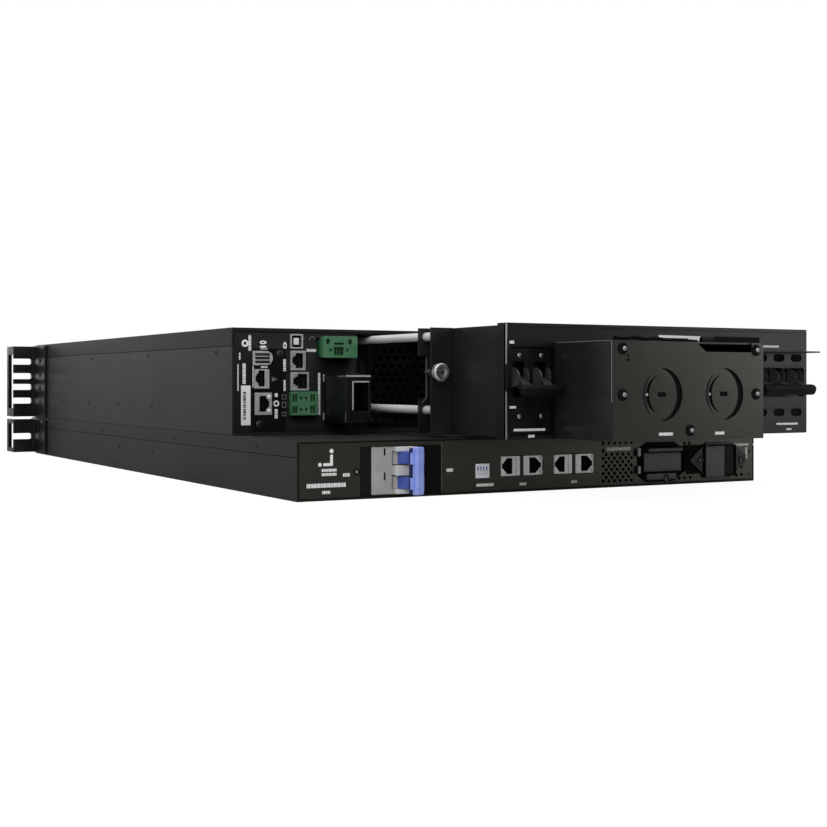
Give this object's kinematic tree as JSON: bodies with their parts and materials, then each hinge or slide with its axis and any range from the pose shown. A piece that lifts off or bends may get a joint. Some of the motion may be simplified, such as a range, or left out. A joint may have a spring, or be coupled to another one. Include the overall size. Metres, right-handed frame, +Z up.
{
  "type": "uninterruptible power supply",
  "caption": "Rack-mounted double-conversion power supply with a rear power distribution box, standing on a slim lithium battery module, with slotted rack ears and pull handles.",
  "frame": {"origin": "centre of the bounding box in plan, at the underside of the battery module", "axes": "+Z up; the front bezels and pull handles face -Y, the rear with the ports and breakers faces +Y; +X is on the right seen from the front"},
  "size_m": [0.4826, 0.9178, 0.128],
  "materials": {
    "painted_black": "fine-textured black powder coat",
    "satin_black": "smooth satin black paint",
    "black_plastic": "moulded black plastic",
    "grey_plastic": "light grey moulded breaker case",
    "blue_plastic": "bright blue moulded plastic",
    "green_plastic": "green terminal plastic",
    "white_plastic": "white plastic",
    "screen_glass": "dark display window",
    "connector_shell": "tinned connector shell",
    "chrome_steel": "bright plated steel",
    "bare_aluminium": "extruded aluminium",
    "transformer_core": "varnished laminated core",
    "circuit_board": "green circuit board",
    "cell_wrap": "heat-shrink wrap over the lithium cells"
  },
  "bodies": {
    "chassis": {"ups_chassis": "painted_black", "ups_top_cover": "painted_black", "ups_rear_panel": "painted_black", "pod_case": "painted_black", "pod_rear_cap": "painted_black", "terminal_box": "painted_black", "battery_chassis": "painted_black", "battery_top_cover": "painted_black", "thumbscrew_bracket": "painted_black", "battery_rear_panel": "satin_black", "network_card_plate": "satin_black", "terminal_cover": "satin_black", "fan_grille": "satin_black", "ups_ear_left": "satin_black", "ups_ear_right": "satin_black", "battery_ear_left": "satin_black", "battery_ear_right": "satin_black", "ups_front_bezel": "black_plastic", "battery_front_bezel": "black_plastic", "battery_cable_socket": "black_plastic", "fan_frame": "black_plastic", "output_breaker_body": "black_plastic", "input_breaker_body": "black_plastic", "breaker_guard": "black_plastic", "battery_connector_left": "black_plastic", "battery_connector_right": "black_plastic", "battery_breaker_body": "grey_plastic", "terminal_block": "grey_plastic", "dry_contact_header": "green_plastic", "power_off_header": "green_plastic", "address_switch": "white_plastic", "display_screen": "screen_glass", "card_usb_port": "connector_shell", "card_jack_upper": "connector_shell", "card_jack_lower": "connector_shell", "usb_b_port": "connector_shell", "serial_jack_upper": "connector_shell", "serial_jack_lower": "connector_shell", "com_jacks_left": "connector_shell", "com_jacks_right": "connector_shell", "guide_rod_upper": "chrome_steel", "guide_rod_lower": "chrome_steel", "heat_sink": "bare_aluminium", "transformer": "transformer_core", "power_board": "circuit_board", "battery_control_board": "circuit_board", "cell_pack": "cell_wrap"},
    "output_breaker_handle": {"output_breaker_handle": "black_plastic"},
    "input_breaker_handle": {"input_breaker_handle": "black_plastic"},
    "battery_breaker_handle": {"battery_breaker_handle": "blue_plastic"},
    "thumbscrew": {"thumbscrew": "chrome_steel"},
    "fan_rotor": {"fan_rotor": "black_plastic"},
    "dry_contact_plug": {"dry_contact_plug": "green_plastic"},
    "power_off_plug": {"power_off_plug": "green_plastic"},
    "power_button": {"power_button": "black_plastic"},
    "menu_button": {"menu_button": "black_plastic"},
    "address_lever_1": {"address_lever_1": "blue_plastic"},
    "address_lever_2": {"address_lever_2": "blue_plastic"},
    "address_lever_3": {"address_lever_3": "blue_plastic"},
    "address_lever_4": {"address_lever_4": "blue_plastic"}
  },
  "joints": [
    {"name": "output_breaker_throw", "type": "hinge", "parent": "chassis", "child": "output_breaker_handle", "pos_m": [0.056, 0.3791, 0.087], "axis": [1, 0, 0], "range_deg": [0, 44]},
    {"name": "input_breaker_throw", "type": "hinge", "parent": "chassis", "child": "input_breaker_handle", "pos_m": [-0.1852, 0.3791, 0.087], "axis": [1, 0, 0], "range_deg": [0, 44]},
    {"name": "battery_breaker_throw", "type": "hinge", "parent": "chassis", "child": "battery_breaker_handle", "pos_m": [0.1325, 0.3196, 0.0201], "axis": [0, 0, -1], "range_deg": [0, 44]},
    {"name": "thumbscrew_turn", "type": "hinge", "parent": "chassis", "child": "thumbscrew", "pos_m": [0.092, 0.3161, 0.0923], "axis": [0, 1, 0], "continuous": true},
    {"name": "fan_spin", "type": "hinge", "parent": "chassis", "child": "fan_rotor", "pos_m": [0.043, 0.1608, 0.085], "axis": [0, 1, 0], "continuous": true},
    {"name": "dry_contact_pull", "type": "slide", "parent": "chassis", "child": "dry_contact_plug", "axis": [0, 1, 0], "range_m": [0, 0.012]},
    {"name": "power_off_pull", "type": "slide", "parent": "chassis", "child": "power_off_plug", "axis": [0, 1, 0], "range_m": [0, 0.012]},
    {"name": "power_button_press", "type": "slide", "parent": "chassis", "child": "power_button", "axis": [0, 1, 0], "range_m": [0, 0.0018], "stiffness_N_per_m": 400, "springref_m": -0.001},
    {"name": "menu_button_press", "type": "slide", "parent": "chassis", "child": "menu_button", "axis": [0, 1, 0], "range_m": [0, 0.0018], "stiffness_N_per_m": 300, "springref_m": -0.001},
    {"name": "address_lever_1_slide", "type": "slide", "parent": "chassis", "child": "address_lever_1", "axis": [0, 0, 1], "range_m": [0, 0.0026]},
    {"name": "address_lever_2_slide", "type": "slide", "parent": "chassis", "child": "address_lever_2", "axis": [0, 0, 1], "range_m": [0, 0.0026]},
    {"name": "address_lever_3_slide", "type": "slide", "parent": "chassis", "child": "address_lever_3", "axis": [0, 0, 1], "range_m": [0, 0.0026]},
    {"name": "address_lever_4_slide", "type": "slide", "parent": "chassis", "child": "address_lever_4", "axis": [0, 0, 1], "range_m": [0, 0.0026]}
  ]
}
